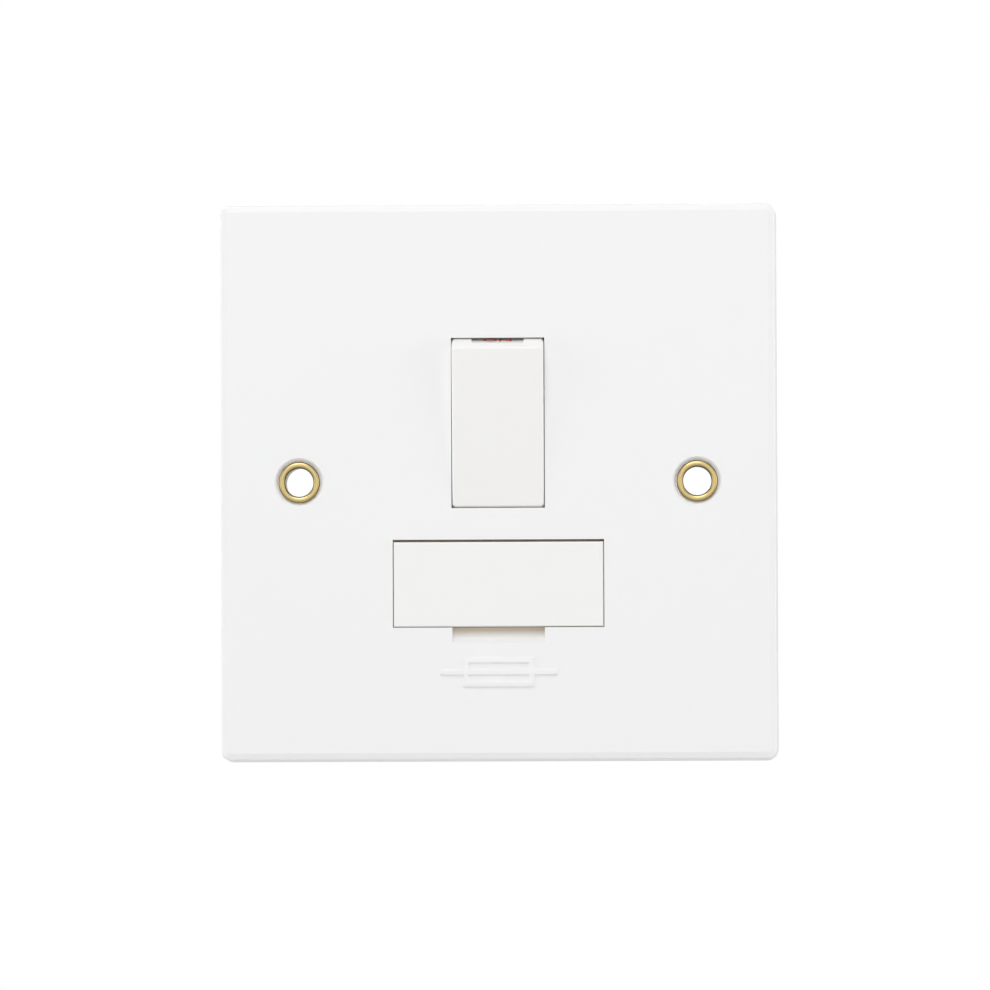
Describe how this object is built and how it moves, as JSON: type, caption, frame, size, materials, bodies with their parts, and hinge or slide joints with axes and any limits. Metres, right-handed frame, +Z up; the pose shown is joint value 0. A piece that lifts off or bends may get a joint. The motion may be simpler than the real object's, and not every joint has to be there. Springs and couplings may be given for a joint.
{
  "type": "switched fused spur unit",
  "caption": "White switched fused spur: square moulded plate with a rocker switch, a flush pull-out fuse carrier, brass-lined fixing holes and a rear base with screw terminals.",
  "frame": {"origin": "midpoint of the two fixing holes, in the plane of the wall behind the plate", "axes": "+X right, +Y into the wall, +Z up"},
  "size_m": [0.085, 0.0275, 0.085],
  "materials": {
    "plate_moulding": "moulded white, fine satin gloss",
    "rocker_moulding": "moulded warm white, gloss",
    "carrier_moulding": "moulded white, satin gloss",
    "base_moulding": "moulded cream thermoset",
    "plunger_moulding": "natural nylon",
    "brass": "turned and pressed brass",
    "copper_alloy": "copper alloy strip",
    "silver": "silver contact tips",
    "plated_steel": "zinc-plated steel",
    "spring_steel": "drawn spring wire",
    "fuse_ceramic": "unglazed ceramic",
    "fuse_cap": "nickel-plated brass"
  },
  "bodies": {
    "housing": {"front_plate": "plate_moulding", "rear_base": "base_moulding", "left_eyelet": "brass", "right_eyelet": "brass", "earth_strap": "plated_steel", "line_fixed_tip": "silver", "neutral_fixed_tip": "silver", "line_supply_strip": "copper_alloy", "neutral_supply_strip": "copper_alloy", "neutral_load_strip": "copper_alloy", "line_switched_strip": "copper_alloy", "line_load_strip": "copper_alloy", "load_fuse_clip": "copper_alloy", "supply_fuse_clip": "copper_alloy", "terminal_screws": "plated_steel", "housing_screws": "plated_steel", "line_load_terminal": "brass", "line_supply_terminal": "brass", "earth_terminal": "brass", "neutral_supply_terminal": "brass", "neutral_load_terminal": "brass"},
    "rocker": {"rocker": "rocker_moulding", "line_plunger_spring": "spring_steel", "neutral_plunger_spring": "spring_steel"},
    "line_plunger": {"line_plunger": "plunger_moulding"},
    "neutral_plunger": {"neutral_plunger": "plunger_moulding"},
    "line_contact": {"line_moving_contact": "copper_alloy", "line_moving_tip": "silver"},
    "neutral_contact": {"neutral_moving_contact": "copper_alloy", "neutral_moving_tip": "silver"},
    "fuse_drawer": {"fuse_carrier": "carrier_moulding", "fuse_barrel": "fuse_ceramic", "fuse_end_caps": "fuse_cap"}
  },
  "joints": [
    {"name": "rocker_tilt", "type": "hinge", "parent": "housing", "child": "rocker", "pos_m": [0, -0.00409, 0.00893], "axis": [1, 0, 0], "range_deg": [-12, 0]},
    {"name": "fuse_drawer_slide", "type": "slide", "parent": "housing", "child": "fuse_drawer", "axis": [0, -1, 0], "range_m": [0, 0.017]},
    {"name": "line_contact_tilt", "type": "hinge", "parent": "housing", "child": "line_contact", "pos_m": [0, 0.00907, 0.00893], "axis": [1, 0, 0], "range_deg": [0, 20]},
    {"name": "line_plunger_slide", "type": "slide", "parent": "rocker", "child": "line_plunger", "axis": [0, -0.9945, -0.1045], "range_m": [0, 0.0009], "stiffness_N_per_m": 400, "springref_m": -0.0025, "deforming": ["line_plunger_spring"]},
    {"name": "neutral_contact_tilt", "type": "hinge", "parent": "housing", "child": "neutral_contact", "pos_m": [0, 0.00907, 0.00893], "axis": [1, 0, 0], "range_deg": [0, 20]},
    {"name": "neutral_plunger_slide", "type": "slide", "parent": "rocker", "child": "neutral_plunger", "axis": [0, -0.9945, -0.1045], "range_m": [0, 0.0009], "stiffness_N_per_m": 400, "springref_m": -0.0025, "deforming": ["neutral_plunger_spring"]}
  ],
  "couplings": [
    {"joint": "line_contact_tilt", "follows": "rocker_tilt", "ratio": -1.6666},
    {"joint": "neutral_contact_tilt", "follows": "rocker_tilt", "ratio": -1.6666}
  ]
}
